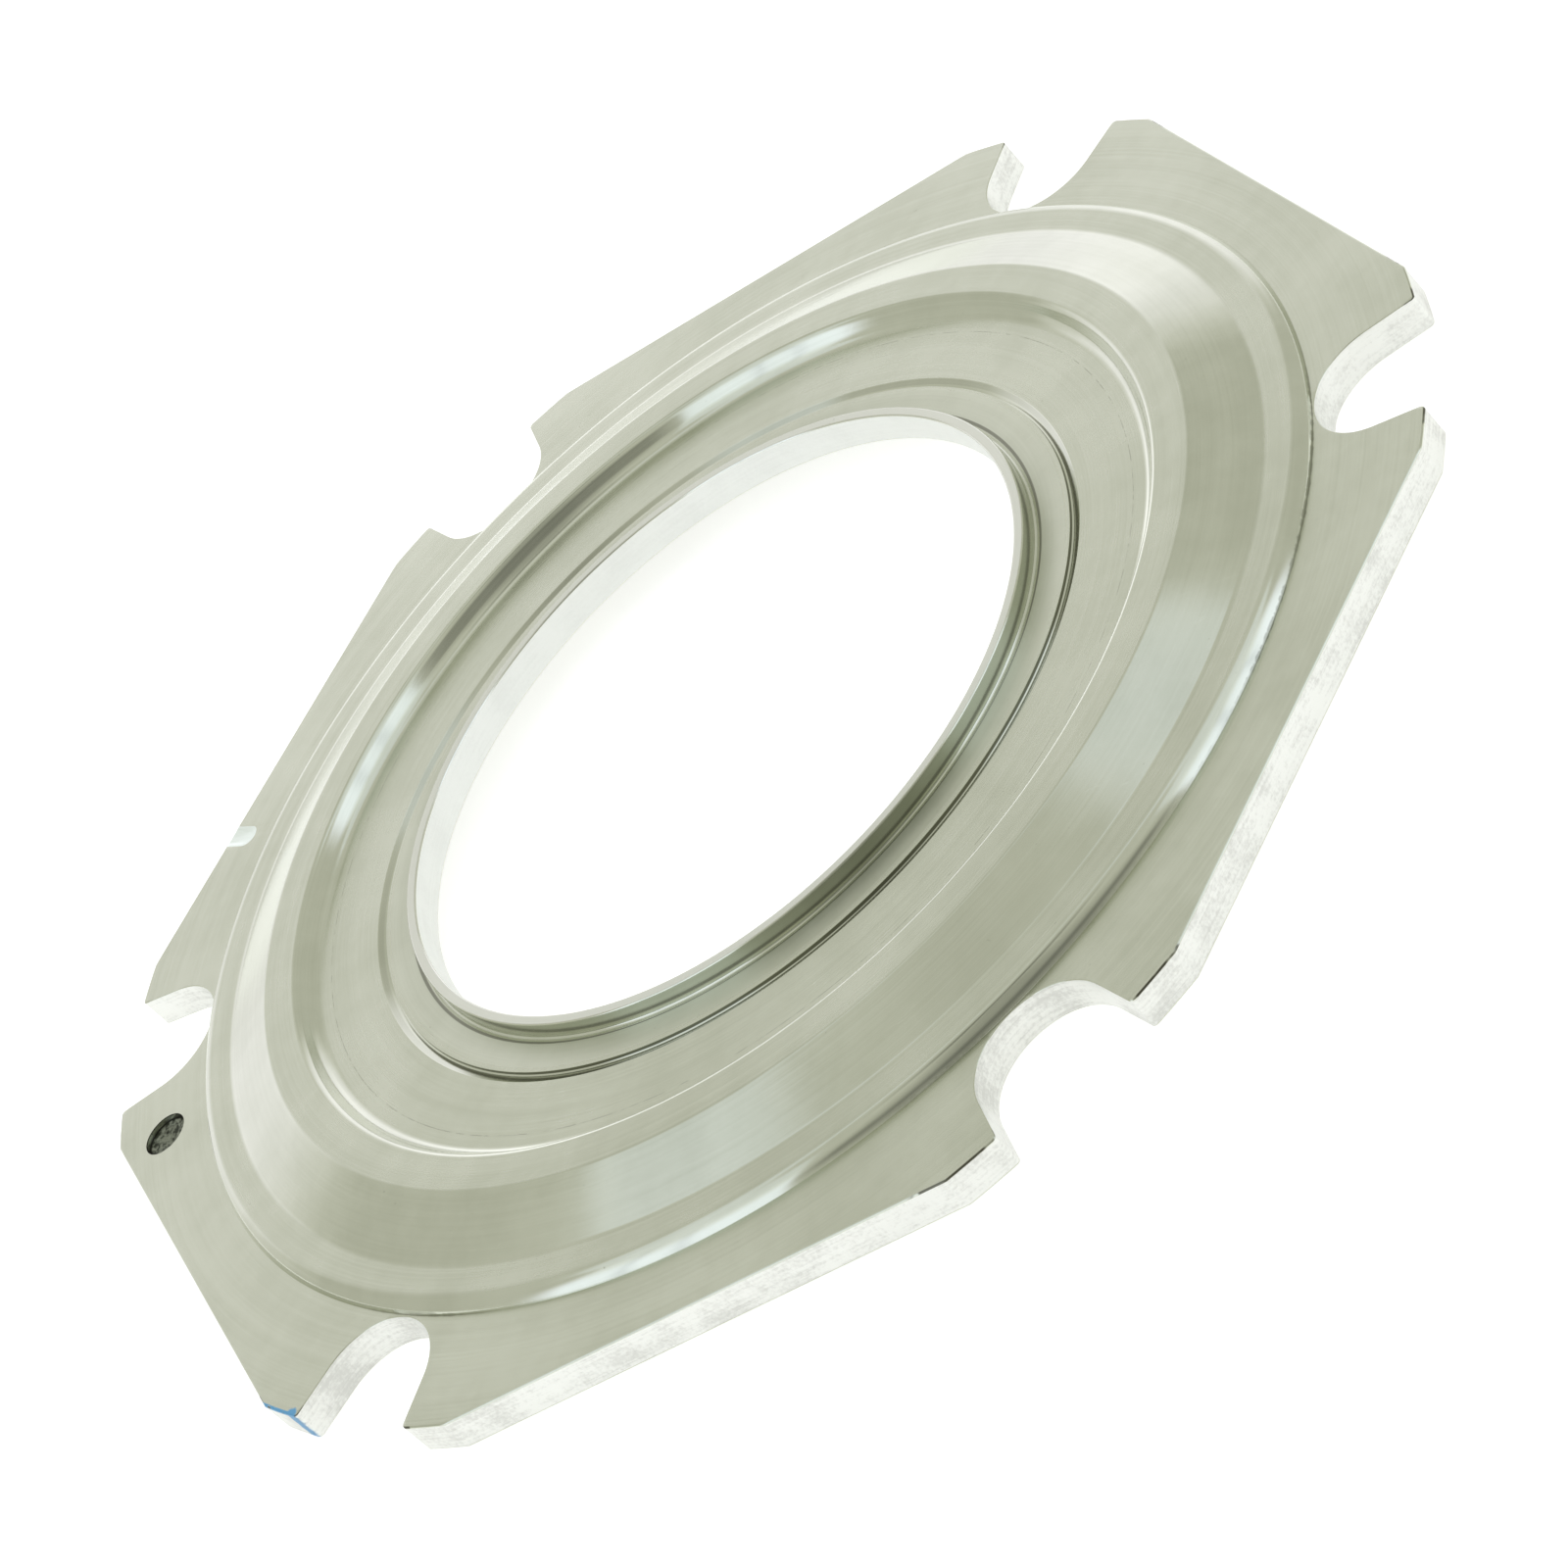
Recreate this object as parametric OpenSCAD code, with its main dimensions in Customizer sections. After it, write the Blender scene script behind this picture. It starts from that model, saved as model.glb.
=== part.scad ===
// Pressure plate of a multi-plate clutch: one turned and milled steel plate.
// The clutch axis is Z. The back face, z = 0, is ground flat and clamps the friction disc.
// The front face carries the raised ring that the diaphragm spring presses on.
// The first drive notch lies on +X and the rest follow every 360 / notch_n degrees.

/* [Friction side] */
// Outside diameter of the friction disc that the back face clamps
disc_d = 200; // [190:1:260]
// Diameter of the recess inside the friction band, on the back
recess_d = 136; // [126:1:150]
// Fillet at the root of the recess
recess_fillet = 1.5; // [0.5:0.1:2.5]

/* [Flange and rim] */
// Thickness of the flange from its front face to the friction face
flange_t = 5.6; // [4.5:0.1:9]
// Radial width of the flange, from the foot of the shoulder to the round blank's edge
flange_w = 18; // [16:0.5:26]
// How deep each flat is milled into the blank, measured from the blank's circle
flat_depth = 7.4; // [3:0.1:10]
// Size of the chamfer that breaks the turned and the milled edges
edge_break = 0.3; // [0.1:0.05:0.6]

/* [Drive notches] */
// Number of drive notches, with one flat between each pair
notch_n = 6; // [4:1:6]
// Diameter of the round bottom of a notch
notch_d = 21.6; // [16:0.1:26]
// Lean of each notch wall, so that the notch opens towards the rim
notch_flare = 9.5; // [0:0.5:14]
// Radius of the corner between a notch wall and the rim
notch_mouth_r = 0.8; // [0.3:0.1:1.5]
// Flat land left between the foot of the shoulder and the bottom of a notch
notch_land = 0.3; // [0.1:0.1:3]

/* [Shoulder and shelf] */
// How far the foot of the shoulder lies outside the friction disc's edge
shoulder_margin = 2; // [1:0.1:4]
// Height of the shelf over the front of the flange
shelf_rise = 1.95; // [1.5:0.05:3]
// Lean of the shoulder's flank from the vertical
shoulder_lean = 17; // [5:1:30]
// Radius turned on the top edge of the shoulder
shoulder_round = 2.6; // [1:0.1:3.2]
// Width of the shelf, from its edge over the shoulder to the foot of the cone
shelf_w = 6.1; // [5:0.1:9]

/* [Fulcrum ring] */
// Width of the ring's top, before its inner edge is rounded
ring_w = 6.2; // [5:0.1:8]
// Height of the ring's top over the front of the flange
ring_rise = 5.9; // [5:0.1:8]
// Radial run of the cone from the ring down to the shelf
cone_run = 10; // [6:0.1:12]
// Fillet between the cone and the shelf
cone_fillet = 2.5; // [1:0.1:4]
// Slope of the ring's inner wall from the web
wall_slope = 60; // [45:1:80]
// Radius on the inner edge of the ring's top
wall_round = 1.3; // [0.5:0.1:2]
// Fillet at the foot of the ring's inner wall
wall_fillet = 2.3; // [0.5:0.1:3]

/* [Web and groove] */
// Height of the web over the front of the flange
web_rise = 3; // [2.5:0.1:4]
// Thickness of the web between the ring and the bore
web_t = 2.9; // [2.2:0.1:4]
// Width of the flat web between the relief at the lip and the narrow groove
groove_gap = 4.85; // [1:0.05:12]
// Width of the groove at the web
groove_w = 1.7; // [1.2:0.05:2.2]
// Slope of the groove's outer flank from the web; its inner wall is upright
groove_slope = 27; // [15:1:35]
// Fillet at the root of the groove
groove_fillet = 0.3; // [0.2:0.05:0.6]

/* [Bore and lip] */
// Diameter of the bore
bore_d = 110.8; // [80:0.1:134]
// Radial thickness of the lip round the bore
lip_w = 1.75; // [1.2:0.05:3]
// Height of the lip over the web
lip_rise = 2.7; // [1.5:0.1:4]
// Width of the relief turned at the foot of the lip
relief_w = 1.35; // [1:0.05:2]
// Slope of the relief's floor down to the lip
relief_slope = 20; // [10:1:30]
// Fillet between the relief's floor and the lip
relief_fillet = 0.4; // [0.2:0.05:0.6]

/* [Balance marks] */
// Notch beside the balance drilling, counted anticlockwise from 0 on +X
balance_notch = 2; // [0:1:3]
// Degrees from that notch to the drilling
balance_past = 11.8; // [9.5:0.1:17]
// Distance of the balance drilling's centre from the foot of the shoulder
balance_out = 8.6; // [5:0.1:11]
// Diameter of the balance drilling
balance_d = 7.5; // [3:0.1:9]
// Depth of the balance drilling to the shoulder of its cone
balance_depth = 0.8; // [0.3:0.1:2.4]
// Included angle of the drill's point
drill_point = 150; // [118:1:160]
// Width of the small flat that the drill's chisel edge leaves
chisel_w = 0.6; // [0.2:0.1:1]
// Flat that carries the ground nick, counted anticlockwise from 0 beside the first notch
nick_flat = 1; // [0:1:3]
// Sideways place of the nick on its flat, anticlockwise from the middle
nick_shift = 15.8; // [-25:0.1:25]
// Width of the nick
nick_w = 4.1; // [2:0.1:6]
// Length of the nick, in from the edge of the flat
nick_l = 6.2; // [3:0.1:8]
// Depth of the nick
nick_depth = 0.15; // [0.1:0.05:0.5]
// How far the nick's sloping wall runs in from its outline to its floor
nick_run = 0.8; // [0.2:0.1:0.9]

/* [Hidden] */
$fn = 180;

// Pale grey of freshly machined steel, with a slight green cast
steel = [0.72, 0.74, 0.67];
// How far a cut runs past the face that it opens
past = 1;
// Overlap where an arc or a wall would only touch, so that no sliver is left
hair = 0.001;
weld = 0.01;
// The most of a side of the section that the work at its two corners may take
side_share = 0.96;

bore_r = bore_d / 2;
recess_r = recess_d / 2;
pitch = 360 / notch_n;

shelf_z = flange_t + shelf_rise;
ring_z = flange_t + ring_rise;
web_z = flange_t + web_rise;
lip_z = web_z + lip_rise;
recess_z = web_z - web_t;

// Radii outside the ring follow from the friction disc
shoulder_r = disc_d / 2 + shoulder_margin;
blank_r = shoulder_r + flange_w;
flat_r = blank_r - flat_depth;
notch_r = shoulder_r + notch_land + notch_d / 2;
shelf_r = shoulder_r - shelf_rise * tan(shoulder_lean);
cone_r = shelf_r - shelf_w;
ring_r = cone_r - cone_run;
ring_inner_r = ring_r - ring_w;
wall_foot_r = ring_inner_r - (ring_z - web_z) / tan(wall_slope);

// Radii inside the groove follow from the bore
lip_r = bore_r + lip_w;
relief_r = lip_r + relief_w;
groove_inner_r = relief_r + groove_gap;
groove_outer_r = groove_inner_r + groove_w;
groove_root_z = web_z - groove_w * tan(groove_slope);
relief_root_z = web_z - relief_w * tan(relief_slope);

// What is done to a corner of the turned section
SHARP = 0;
BREAK = 1;
ROUND = 2;

// Corners of the turned section in order: [radius, height], what is done there, and its size
turned = [
    [[bore_r, recess_z], BREAK, edge_break],
    [[recess_r, recess_z], ROUND, recess_fillet],
    [[recess_r, 0], BREAK, edge_break],
    [[blank_r, 0], BREAK, edge_break],
    [[blank_r, flange_t], BREAK, edge_break],
    [[shoulder_r, flange_t], SHARP, 0],
    [[shelf_r, shelf_z], ROUND, shoulder_round],
    [[cone_r, shelf_z], ROUND, cone_fillet],
    [[ring_r, ring_z], BREAK, edge_break],
    [[ring_inner_r, ring_z], ROUND, wall_round],
    [[wall_foot_r, web_z], ROUND, wall_fillet],
    [[groove_outer_r, web_z], SHARP, 0],
    [[groove_inner_r, groove_root_z], ROUND, groove_fillet],
    [[groove_inner_r, web_z], SHARP, 0],
    [[relief_r, web_z], SHARP, 0],
    [[lip_r, relief_root_z], ROUND, relief_fillet],
    [[lip_r, lip_z], BREAK, edge_break],
    [[bore_r, lip_z], BREAK, edge_break]
];
last = len(turned) - 1;

function unit(v) = v / norm(v);
function before(i) = i == 0 ? last : i - 1;
function after(i) = i == last ? 0 : i + 1;

// The side of the section from corner i to its neighbour j, and its direction
function side(i, j) = turned[j][0] - turned[i][0];
function to_last(i) = unit(side(i, before(i)));
function to_next(i) = unit(side(i, after(i)));

// Half of the angle between the two sides at corner i
function half_angle(i) = acos(to_last(i) * to_next(i)) / 2;

// A root is a corner where the section is hollow, so its arc adds metal
function is_root(i) = cross(to_last(i), to_next(i)) > 0;

// Length that the chamfer or arc at corner i asks for along each side
function asked(i) = turned[i][1] == ROUND ? turned[i][2] / tan(half_angle(i)) : turned[i][2];

// Two neighbours that ask for more than the side between them each take a smaller share
function share(i, j) = min(1, side_share * norm(side(i, j)) / (asked(i) + asked(j)));
function reach(i) = asked(i) * min(share(i, before(i)), share(i, after(i)));

// A broken corner becomes the two ends of its chamfer
function corner_points(i) =
    let (b = turned[i][0])
    turned[i][1] == BREAK ? [b + to_last(i) * reach(i), b + to_next(i) * reach(i)] : [b];

// The sliver between corner i and its arc.
// The circle is a hair large, so that it crosses both sides cleanly instead of touching them.
module arc_sliver(i) {
    b = turned[i][0];
    r = reach(i) * tan(half_angle(i));
    centre = b + unit(to_last(i) + to_next(i)) * r / sin(half_angle(i));
    difference() {
        polygon([b, b + to_last(i) * reach(i), centre, b + to_next(i) * reach(i)]);
        translate(centre) circle(r = r + hair);
    }
}

// Half of the turned section, right of the clutch axis
module section() {
    difference() {
        union() {
            polygon([for (i = [0 : last]) each corner_points(i)]);
            for (i = [0 : last])
                if (turned[i][1] == ROUND && is_root(i)) arc_sliver(i);
        }
        for (i = [0 : last])
            if (turned[i][1] == ROUND && !is_root(i)) arc_sliver(i);
    }
}

// Plan of one drive notch on +X: a round bottom, two leaning walls and rounded mouth corners.
// Each wall cuts a hair into the round bottom, so that the tangent leaves no sliver.
module notch_plan() {
    along = [cos(notch_flare), sin(notch_flare)];
    across = [-sin(notch_flare), cos(notch_flare)];
    wall_start = [notch_r, 0] + across * (notch_d / 2 - weld);
    wall_end = wall_start + along * (blank_r + past - wall_start[0]);
    translate([notch_r, 0]) circle(d = notch_d);
    polygon([wall_start, wall_end, [wall_end[0], -wall_end[1]], [wall_start[0], -wall_start[1]]]);
    mouth_corner(wall_start, along, across);
    mirror([0, 1]) mouth_corner(wall_start, along, across);
}

// What the rounding takes off the corner between a notch wall and the rim's circle.
// The arc keeps its radius from the wall and from the rim, so its centre follows from both.
module mouth_corner(wall_start, along, across) {
    off_wall = wall_start * across + notch_mouth_r;
    inner_r = blank_r - notch_mouth_r;
    along_wall = sqrt(inner_r * inner_r - off_wall * off_wall);
    centre = along * along_wall + across * off_wall;
    wall_touch = centre - across * notch_mouth_r;
    rim_touch = unit(centre) * blank_r;
    outside = unit(centre) * (blank_r + past);
    difference() {
        polygon([centre, wall_touch, wall_touch + along * (notch_mouth_r + past), outside, rim_touch]);
        translate(centre) circle(r = notch_mouth_r);
    }
}

// Plan of the rim: the blank's circle, milled flats and drive notches
module rim_plan() {
    difference() {
        circle(r = blank_r + past);
        for (i = [0 : notch_n - 1]) {
            rotate(i * pitch) notch_plan();
            rotate((i + 0.5) * pitch) translate([flat_r, -blank_r]) square(2 * blank_r);
        }
    }
}

// Block that chamfers the edge of a flat along z = 0; the flat's normal is +X
module flat_chamfer() {
    translate([flat_r, -blank_r, 0])
        rotate([0, -45, 0])
            translate([-edge_break / sqrt(2), 0, -past])
                cube([past, 2 * blank_r, 2 * past]);
}

// Blind drilling with the cone of the drill's point
module balance_drilling() {
    point_h = (balance_d - chisel_w) / 2 / tan(drill_point / 2);
    top = balance_depth + past;
    rotate(balance_notch * pitch + balance_past)
        translate([shoulder_r + balance_out, 0, flange_t - balance_depth])
            rotate_extrude()
                polygon([
                    [0, -point_h],
                    [chisel_w / 2, -point_h],
                    [balance_d / 2, 0],
                    [balance_d / 2, top],
                    [0, top]
                ]);
}

// Half of the nick's section: its floor, and its sloping wall carried on as far above the flange
module nick_half() {
    floor_half = nick_w / 2 - nick_run;
    top_half = nick_w / 2 + nick_run;
    polygon([[0, -nick_depth], [floor_half, -nick_depth], [top_half, nick_depth], [0, nick_depth]]);
}

// Shallow ground nick with sloping walls and a round inner end, open at the edge of its flat
module ground_nick() {
    rotate((nick_flat + 0.5) * pitch)
        translate([flat_r - nick_l + nick_w / 2, nick_shift, flange_t]) {
            rotate_extrude() nick_half();
            rotate([90, 0, 90]) linear_extrude(height = nick_l) {
                nick_half();
                mirror([1, 0]) nick_half();
            }
        }
}

module pressure_plate() {
    color(steel)
        difference() {
            intersection() {
                rotate_extrude() section();
                linear_extrude(height = ring_z + past) rim_plan();
            }
            for (i = [0 : notch_n - 1])
                rotate((i + 0.5) * pitch) {
                    translate([0, 0, flange_t]) flat_chamfer();
                    mirror([0, 0, 1]) flat_chamfer();
                }
            balance_drilling();
            ground_nick();
        }
}

pressure_plate();
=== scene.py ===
"""Looks of a clutch pressure plate: one turned and milled steel plate on a pale studio floor.

Sizes are in millimetres, as in the CAD source, and are turned into metres where a mesh is made.
The clutch axis is Z, the friction face lies on the floor at z = 0, and the first drive notch is on +X.
"""
import math

import bmesh
import bpy
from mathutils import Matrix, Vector, noise


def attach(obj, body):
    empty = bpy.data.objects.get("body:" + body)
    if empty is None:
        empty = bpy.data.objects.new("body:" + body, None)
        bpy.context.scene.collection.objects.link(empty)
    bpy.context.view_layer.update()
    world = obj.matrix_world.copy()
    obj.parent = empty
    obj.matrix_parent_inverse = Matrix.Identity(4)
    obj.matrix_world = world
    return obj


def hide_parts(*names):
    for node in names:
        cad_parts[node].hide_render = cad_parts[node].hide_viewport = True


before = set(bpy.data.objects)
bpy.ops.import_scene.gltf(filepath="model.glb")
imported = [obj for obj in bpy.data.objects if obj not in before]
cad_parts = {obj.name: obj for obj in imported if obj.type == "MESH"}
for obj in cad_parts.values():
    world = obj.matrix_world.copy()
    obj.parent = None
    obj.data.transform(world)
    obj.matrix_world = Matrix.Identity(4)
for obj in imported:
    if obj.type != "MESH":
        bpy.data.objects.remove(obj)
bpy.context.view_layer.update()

MM = 0.001
TURN = 2 * math.pi

# Camera, at the photograph's viewing angle
CAMERA_PLACE = (-301.65, -528.88, 359.18)
CAMERA_ANGLES = (49.4823, 37.4040, -57.1423)
CAMERA_LENS = 109.88
CAMERA_SENSOR = 36.0
AWAY_AZIMUTH = 60.3

# Sizes of the plate, as in the CAD source
FLANGE_T = 5.6
EDGE_BREAK = 0.3
BLANK_R = 120.0
FLAT_R = 112.6
NOTCH_N = 6
NOTCH_BOTTOM_R = 10.8
NOTCH_R = 113.1
NOTCH_FLARE = math.radians(9.5)
MOUTH_R = 0.8
RECESS_R = 68.0
RECESS_Z = 5.7
RECESS_FILLET = 1.5
SHOULDER_R = 102.0
SHELF_R = 101.404
SHELF_Z = 7.55
SHOULDER_ROUND = 2.6
CONE_R = 95.304
CONE_FILLET = 2.5
RING_R = 85.304
RING_INNER_R = 79.104
RING_Z = 11.5
WALL_ROUND = 1.3
WALL_FOOT_R = 77.430
WALL_FILLET = 2.3
WEB_Z = 8.6
GROOVE_OUTER_R = 65.05
GROOVE_INNER_R = 63.35
GROOVE_SLOPE = math.radians(27)
GROOVE_FILLET = 0.3
RELIEF_R = 58.5
RELIEF_SLOPE = math.radians(20)
RELIEF_FILLET = 0.4
LIP_R = 57.15
LIP_Z = 11.3
BORE_R = 55.4

# Balance drilling and ground nick
DRILL_PLACE = (-73.72, 82.45)
DRILL_R = 3.75
DRILL_DEPTH = 0.8
DRILL_POINT = math.radians(150)
CHISEL_R = 0.3
NICK_AZIMUTH = math.radians(90)
NICK_SHIFT = 15.8
NICK_HALF_W = 2.05
NICK_LENGTH = 6.2
NICK_DEPTH = 0.15
NICK_RUN = 0.8

# Places in the mesh's list of materials
TURNED = 0
MILLED = 1
DRILLED = 2
GROUND = 3


# Node helpers, and the sockets of the Mix node that carry colours
MIX_A = 6
MIX_B = 7
MIX_RESULT = 2


class Graph:
    """Adds shader nodes to a tree, so that a formula reads as calls."""

    def __init__(self, tree):
        self.tree = tree
        tree.nodes.clear()

    def node(self, kind, values=None, **settings):
        """A new node; values sets or links its inputs by name or index."""
        made = self.tree.nodes.new(kind)
        for name, value in settings.items():
            setattr(made, name, value)
        for name, value in (values or {}).items():
            self.put(made.inputs[name], value)
        return made

    def put(self, socket, value):
        """Links value to socket if it is a socket, and sets it otherwise."""
        if isinstance(value, bpy.types.NodeSocket):
            self.tree.links.new(value, socket)
        else:
            socket.default_value = value

    def calc(self, operation, *values):
        """The result of one Math node."""
        made = self.node("ShaderNodeMath", operation=operation)
        for socket, value in zip(made.inputs, values):
            self.put(socket, value)
        return made.outputs[0]

    def add(self, *values):
        total = values[0]
        for value in values[1:]:
            total = self.calc("ADD", total, value)
        return total

    def times(self, *values):
        total = values[0]
        for value in values[1:]:
            total = self.calc("MULTIPLY", total, value)
        return total

    def less(self, a, b):
        return self.calc("SUBTRACT", a, b)

    def ramp(self, value, low, high, start=0.0, end=1.0):
        """Smooth change from start, at low, to end, at high."""
        made = self.node(
            "ShaderNodeMapRange",
            {"Value": value, "From Min": low, "From Max": high, "To Min": start, "To Max": end},
            interpolation_type="SMOOTHSTEP",
        )
        return made.outputs["Result"]

    def blend(self, factor, a, b):
        """Number between a and b."""
        return self.add(self.times(a, self.less(1.0, factor)), self.times(b, factor))

    def clamp(self, value, low, high):
        return self.calc("MINIMUM", self.calc("MAXIMUM", value, low), high)

    def hump(self, value, middle, spread):
        """Bell curve of height 1 round middle."""
        offset = self.calc("DIVIDE", self.less(value, middle), spread)
        return self.calc("EXPONENT", self.times(offset, offset, -1.0))

    def glow(self, value, middle, spread, strength):
        """Bell curve of that strength round middle."""
        return self.times(self.hump(value, middle, spread), strength)

    def mix(self, factor, a, b):
        """Colour between a and b."""
        made = self.node("ShaderNodeMix", data_type="RGBA")
        self.put(made.inputs["Factor"], factor)
        self.put(made.inputs[MIX_A], a)
        self.put(made.inputs[MIX_B], b)
        return made.outputs[MIX_RESULT]

    def band(self, value, low, high, edge):
        """1 between low and high, and 0 outside, with edges that wide."""
        rise = self.ramp(value, low - edge, low + edge)
        return self.times(rise, self.ramp(value, high - edge, high + edge, 1.0, 0.0))

    def vector(self, x, y, z):
        return self.node("ShaderNodeCombineXYZ", {0: x, 1: y, 2: z}).outputs[0]

    def parts(self, vector):
        return self.node("ShaderNodeSeparateXYZ", {0: vector}).outputs

    def length(self, x, y):
        """Length of a vector in the plane."""
        return self.calc("SQRT", self.add(self.times(x, x), self.times(y, y)))

    def noise(self, vector, scale, detail, rough):
        """Noise from 0 to 1 round 0.5."""
        made = self.node(
            "ShaderNodeTexNoise",
            {"Vector": vector, "Scale": scale, "Detail": detail, "Roughness": rough},
        )
        return made.outputs[0]

    def stretched(self, sides, scales, detail, rough):
        """Noise with a scale of its own along each of three values."""
        place = self.vector(*(self.times(side, scale) for side, scale in zip(sides, scales)))
        return self.noise(place, 1.0, detail, rough)

    def swing(self, pattern, strength):
        """Noise moved down to swing either side of 0, and scaled."""
        return self.times(self.less(pattern, 0.5), strength)

    def bump(self, height, strength, depth):
        """Normal of a surface whose height varies by depth millimetres."""
        values = {"Strength": strength, "Distance": depth * MM, "Height": height}
        return self.node("ShaderNodeBump", values).outputs[0]

    def surface(self, values):
        """Makes the material a Principled shader with those values."""
        shader = self.node("ShaderNodeBsdfPrincipled", values)
        self.node("ShaderNodeOutputMaterial", {"Surface": shader.outputs[0]})


# Studio: a bright backdrop, two tall softboxes, a dark side behind the camera and a pale floor
WHITE = (1, 1, 1, 1)

# Backdrop: angles are in degrees, and azimuth is 0 straight away from the camera.
# A pair is where a change starts and ends, or a bell curve's place and spread; a glow adds its strength.
WALL_LEVEL = 0.66
HIGH_LEVEL = 0.72
ZENITH_LEVEL = 0.27
WALL_RISE = (40.0, 60.0)
ZENITH_FALL = (75.0, 88.0)
LEFT_GLOW = (-26.0, 15.0, 0.50)
RIGHT_GLOW = (22.0, 9.0, 0.32)
PANEL_BEND = 0.008
PANEL_FALL = (20.0, 38.0)
VEIL_LEVEL = 0.16
VEIL_FALL = (28.0, 36.5)
FLANK_LEVEL = 0.14
FLANK_GAP = (0.0, 8.0)
FLANK_RISE = (22.0, 28.0)
FLANK_FALL = (30.0, 37.0)
PANEL_SIDE = (38.0, 48.0)
MIDDLE_PLACE = (0.0, 14.0)
MIDDLE_LEVEL = 0.58
MIDDLE_RISE = (5.0, 12.0)
MIDDLE_FALL = (17.0, 27.0)
CORE_PLACE = (0.0, 8.0)
CORE_LEVEL = 0.58
CORE_RISE = (-3.0, 4.0)
CORE_FALL = (12.0, 20.0)

# Room behind the camera: where it starts, how its level changes round it, and its darkest height
ROOM_SIDE = (136.0, 146.0)
ROOM_TURN = (140.0, 175.0)
ROOM_SIDE_LEVEL = 0.66
ROOM_BACK_LEVEL = 0.45
ROOM_DARK_GLOW = (27.0, 15.0, 0.5)

# Softboxes: their near and far edges, the lean of both, and the gaps between their panes
BOX_NEAR_AZIMUTH = 138.0
BOX_NEAR_LEAN = 5.0
BOX_SIDES = (-1.0, 1.0)
BOX_LEFT_AZIMUTH = 100.0
BOX_RIGHT_AZIMUTH = 93.0
BOX_FAR_LEAN = 12.0
BOX_HIGHEST_CLIMB = 75.0
BOX_STEP_RISE = (49.0, 54.0)
BOX_STEP = 35.0
BOX_NEAR_SOFT = (-1.5, 1.5)
BOX_FAR_SOFT = (-5.0, 5.0)
BOX_TOP = (66.0, 71.0)
BOX_GAPS = (15.0, 26.0)
BOX_GAP_SPREAD = 1.3
BOX_GAP_DEPTH = 0.3
BOX_LOW = 1.42
BOX_HIGH = 0.98
BOX_LEVEL_FALL = (20.0, 62.0)

# Tints of the light, by its level and by the height of a softbox
WARM = (1.0, 1.0, 0.90, 1)
COOL = (1.02, 1.0, 1.07, 1)
COOL_LEVELS = (0.55, 1.27)
BOX_TINT_LOW = (0.95, 1.0, 1.15, 1)
BOX_TINT_HIGH = (0.968, 1.0, 1.045, 1)
BOX_TINT_RISE = (25.0, 50.0)

# Floor: half its side in metres, and how far it is below the plate in millimetres
FLOOR_COLOUR = (0.7, 0.7, 0.7, 1)
FLOOR_GLOW = 0.7
FLOOR_HALF = 6.0
FLOOR_DROP = 0.02


def backdrop_level(g, azimuth, turned, elevation):
    """The wall, with two broad panels that fall away upwards and a brighter middle between them."""
    height = g.add(elevation, g.times(azimuth, azimuth, PANEL_BEND))
    panels = g.add(g.glow(azimuth, *LEFT_GLOW), g.glow(azimuth, *RIGHT_GLOW))
    panels = g.times(panels, g.ramp(height, *PANEL_FALL, 1.0, 0.0))
    panels = g.add(panels, g.ramp(height, *VEIL_FALL, VEIL_LEVEL, 0.0))
    beside = g.less(1.0, g.hump(azimuth, *FLANK_GAP))
    flanks = g.times(beside, g.ramp(elevation, *FLANK_RISE), FLANK_LEVEL)
    panels = g.add(panels, g.times(flanks, g.ramp(height, *FLANK_FALL, 1.0, 0.0)))
    panels = g.times(panels, g.ramp(turned, *PANEL_SIDE, 1.0, 0.0))

    middle = g.times(g.ramp(elevation, *MIDDLE_RISE), g.ramp(elevation, *MIDDLE_FALL, 1.0, 0.0), MIDDLE_LEVEL)
    middle = g.times(g.hump(azimuth, *MIDDLE_PLACE), middle)
    core = g.times(g.ramp(elevation, *CORE_RISE), g.ramp(elevation, *CORE_FALL, 1.0, 0.0), CORE_LEVEL)
    core = g.times(g.hump(azimuth, *CORE_PLACE), core)

    wall = g.ramp(elevation, *WALL_RISE, WALL_LEVEL, HIGH_LEVEL)
    wall = g.less(wall, g.ramp(elevation, *ZENITH_FALL, 0.0, HIGH_LEVEL - ZENITH_LEVEL))
    return g.add(wall, g.add(panels, middle, core))


def softbox(g, azimuth, turned, elevation):
    """Where the softbox on each side is, and how bright it is: three panes, leaning forward as it rises."""
    climb = g.calc("TANGENT", g.calc("RADIANS", g.clamp(elevation, 0.0, BOX_HIGHEST_CLIMB)))
    near_edge = g.less(BOX_NEAR_AZIMUTH, g.times(climb, climb, BOX_NEAR_LEAN))
    far_edge = g.ramp(azimuth, *BOX_SIDES, BOX_LEFT_AZIMUTH, BOX_RIGHT_AZIMUTH)
    far_edge = g.less(far_edge, g.times(climb, climb, BOX_FAR_LEAN))
    far_edge = g.less(far_edge, g.ramp(elevation, *BOX_STEP_RISE, 0.0, BOX_STEP))
    across = g.less(turned, far_edge)
    box = g.times(
        g.ramp(across, *BOX_FAR_SOFT),
        g.ramp(g.less(turned, near_edge), *BOX_NEAR_SOFT, 1.0, 0.0),
        g.ramp(elevation, *BOX_TOP, 1.0, 0.0),
    )
    gaps = g.times(g.add(*(g.hump(across, gap, BOX_GAP_SPREAD) for gap in BOX_GAPS)), BOX_GAP_DEPTH)
    level = g.times(g.ramp(elevation, *BOX_LEVEL_FALL, BOX_LOW, BOX_HIGH), g.less(1.0, gaps))
    return box, level


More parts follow.
